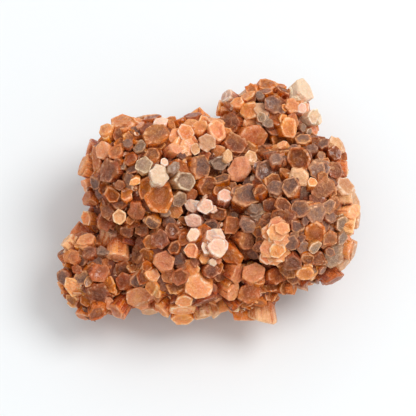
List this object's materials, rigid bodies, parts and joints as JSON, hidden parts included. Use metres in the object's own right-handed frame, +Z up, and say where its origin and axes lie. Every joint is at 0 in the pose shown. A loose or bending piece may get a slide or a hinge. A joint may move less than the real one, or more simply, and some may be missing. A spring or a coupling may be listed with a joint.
{
  "type": "aragonite star cluster",
  "caption": "Lobed cluster of aragonite: blunt hexagonal crystals that radiate from several centres grown into one mass, lying on its flattest side.",
  "frame": {"origin": "On the surface that the cluster rests on, under the middle of its bounding box.", "axes": "+Z up, away from the surface; +X along the cluster's longest extent, to the right as seen from the side that shows best; +Y away from that viewer."},
  "size_m": [0.0902, 0.0748, 0.0444],
  "materials": {
    "aragonite": "Natural crystal: orange to amber prism sides, duller mauve-brown flat ends with paler rims, a few cream and pink crystals, darker red-brown between the crystals; satin, slightly waxy."
  },
  "bodies": {
    "root": {"aragonite_cluster": "aragonite"}
  },
  "joints": []
}
